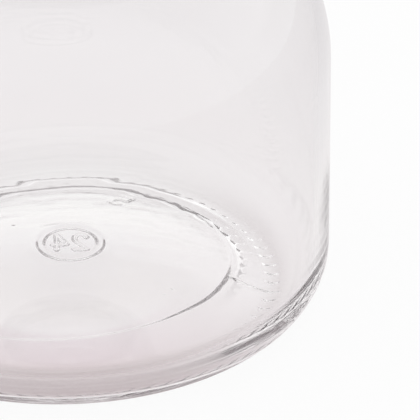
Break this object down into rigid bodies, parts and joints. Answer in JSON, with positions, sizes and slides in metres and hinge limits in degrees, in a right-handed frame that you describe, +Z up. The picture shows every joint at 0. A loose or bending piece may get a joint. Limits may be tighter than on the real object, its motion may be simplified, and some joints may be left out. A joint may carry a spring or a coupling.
{
  "type": "glass condiment jar",
  "caption": "Round clear glass condiment jar with a pushed-up base, a screw-on stainless lid, a hinged front flap with a knob, and a spoon notch.",
  "frame": {"origin": "on the jar's axis, in the plane that the jar stands on", "axes": "+Z up along the jar's axis, -Y towards the flap and its spoon notch, +X to the right seen from the flap's side"},
  "size_m": [0.08, 0.08, 0.0889],
  "materials": {
    "clear_glass": "clear, fire-polished, faint warm tint in thick places",
    "liner_white": "matt off-white sealing compound",
    "polished_steel": "polished stainless steel with fine forming marks",
    "pin_steel": "turned stainless steel",
    "black_plastic": "moulded, glossy"
  },
  "bodies": {
    "jar": {"glass_jar": "clear_glass"},
    "liner": {"lid_liner": "liner_white"},
    "cap": {"lid_cap": "polished_steel", "hinge_pin": "pin_steel"},
    "flap": {"lid_flap": "polished_steel", "flap_knob": "black_plastic", "knob_screw": "pin_steel"}
  },
  "joints": [
    {"name": "cap_rise", "type": "slide", "parent": "jar", "child": "liner", "axis": [0, 0, 1], "range_m": [0, 0.0102]},
    {"name": "cap_turn", "type": "hinge", "parent": "liner", "child": "cap", "pos_m": [0, 0, 0.06629], "axis": [0, 0, 1], "range_deg": [0, 720]},
    {"name": "flap_hinge", "type": "hinge", "parent": "cap", "child": "flap", "pos_m": [0, 0.003, 0.08069], "axis": [-1, 0, 0], "range_deg": [0, 145]}
  ],
  "couplings": [
    {"joint": "cap_rise", "follows": "cap_turn", "m_per_rad": 0.00080851}
  ]
}
